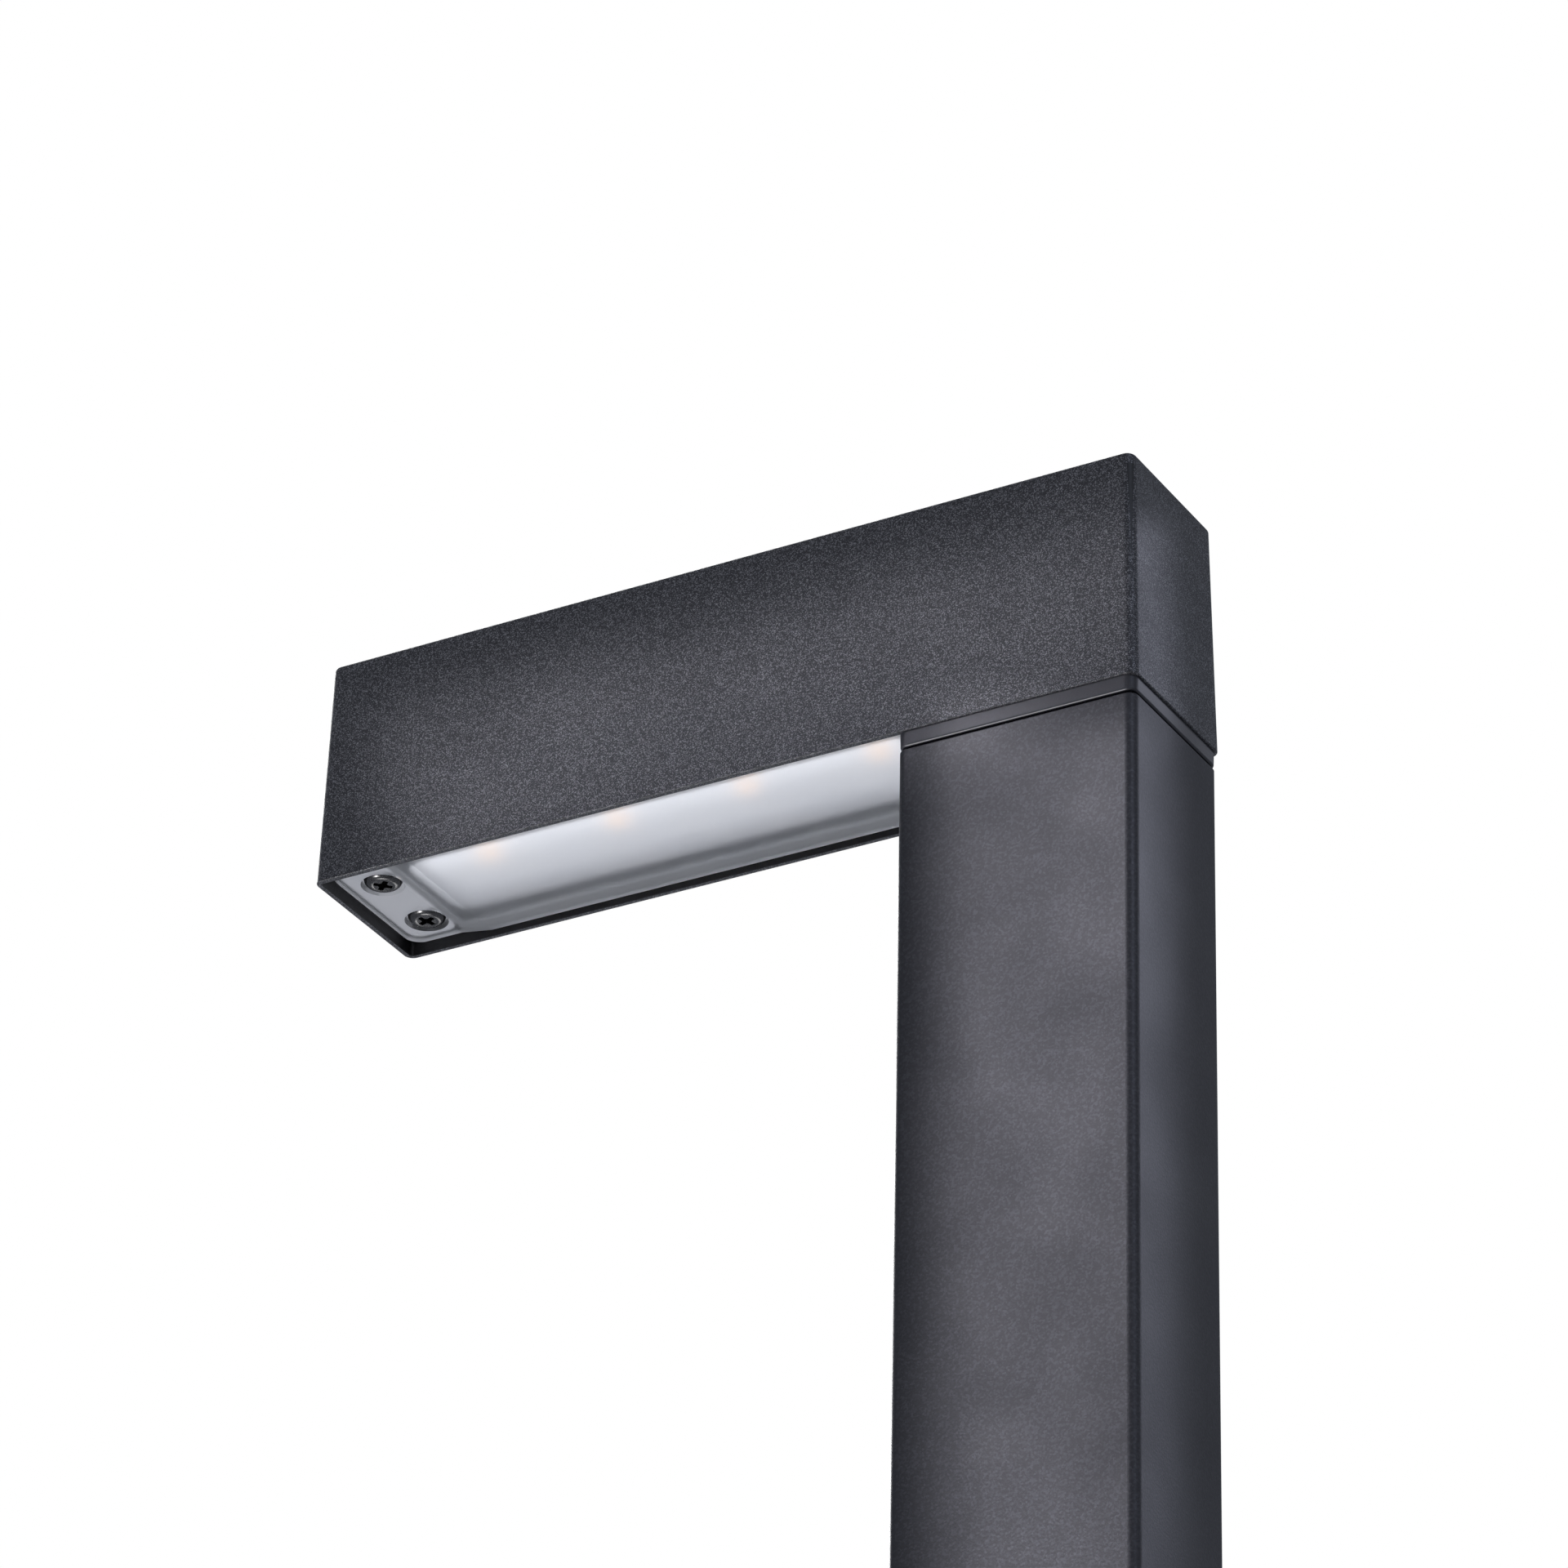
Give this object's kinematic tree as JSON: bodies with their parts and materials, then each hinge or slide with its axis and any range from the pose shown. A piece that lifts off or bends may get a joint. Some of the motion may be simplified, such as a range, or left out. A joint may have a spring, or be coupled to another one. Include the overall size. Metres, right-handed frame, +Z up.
{
  "type": "bollard light",
  "caption": "Slim bollard light: a rectangular post on a ground flange carries a narrow die-cast head that reaches out sideways and lights the path below through a frosted lens.",
  "frame": {"origin": "centre of the four ground bolts, on the underside of the ground flange", "axes": "+Z up along the post; the head reaches out along -X; the light is symmetrical about the XZ plane apart from its gear"},
  "size_m": [0.2145, 0.1, 0.8],
  "materials": {
    "anthracite_coat": "fine-texture powder coat with a metallic fleck, satin",
    "frosted_lens": "frosted translucent polycarbonate, satin outside",
    "seal_rubber": "matt silicone rubber",
    "cushion_silicone": "white silicone, matt",
    "screw_steel": "passivated stainless steel, turned",
    "reflector_white": "matt white moulded polycarbonate",
    "board_white": "white solder mask on an aluminium core",
    "led_phosphor": "yellow phosphor in a white package",
    "thermal_grey": "soft grey heat-conducting pad",
    "bare_aluminium": "mill-finish rolled sheet",
    "driver_plastic": "off-white moulded plastic",
    "circuit_green": "green solder mask",
    "ferrite_black": "dark ferrite and yellow tape",
    "capacitor_sleeve": "dark sleeved can with an aluminium top",
    "terminal_white": "white polyamide",
    "gland_black": "black polyamide",
    "box_grey": "grey moulded polycarbonate",
    "cable_sheath": "black rubber sheath",
    "core_insulation": "coloured core insulation",
    "earth_insulation": "green and yellow core insulation",
    "zinc_steel": "zinc-plated sheet steel"
  },
  "bodies": {
    "root": {"base_set_screws": "screw_steel", "box_bracket": "zinc_steel", "box_cores": "core_insulation", "box_lid": "box_grey", "box_screws": "screw_steel", "box_seal": "seal_rubber", "bracket_screws": "screw_steel", "carrier_plate": "bare_aluminium", "clamp_screws": "screw_steel", "connection_box": "box_grey", "driver_board": "circuit_green", "driver_capacitors": "capacitor_sleeve", "driver_case": "driver_plastic", "driver_cores": "core_insulation", "driver_cover": "driver_plastic", "driver_screws": "screw_steel", "driver_terminals": "terminal_white", "driver_transformer": "ferrite_black", "earth_core": "earth_insulation", "earth_screw": "screw_steel", "earth_tag": "zinc_steel", "ground_flange": "anthracite_coat", "head_housing": "anthracite_coat", "head_lead": "cable_sheath", "lead_gland_body": "gland_black", "lead_gland_nut": "gland_black", "lead_gland_seal": "seal_rubber", "lead_grommet": "seal_rubber", "led_board": "board_white", "led_wires": "core_insulation", "leds": "led_phosphor", "lens": "frosted_lens", "lens_cushion": "cushion_silicone", "lens_gasket": "cushion_silicone", "lens_screws": "screw_steel", "lid_screws": "screw_steel", "neck": "anthracite_coat", "neck_gasket": "seal_rubber", "neck_screws": "screw_steel", "neck_set_screws": "screw_steel", "plate_screws": "screw_steel", "post": "anthracite_coat", "reflector": "reflector_white", "supply_gland_body": "gland_black", "supply_gland_nut": "gland_black", "supply_gland_seal": "seal_rubber", "terminal_block": "terminal_white", "thermal_pad": "thermal_grey"}
  },
  "joints": []
}
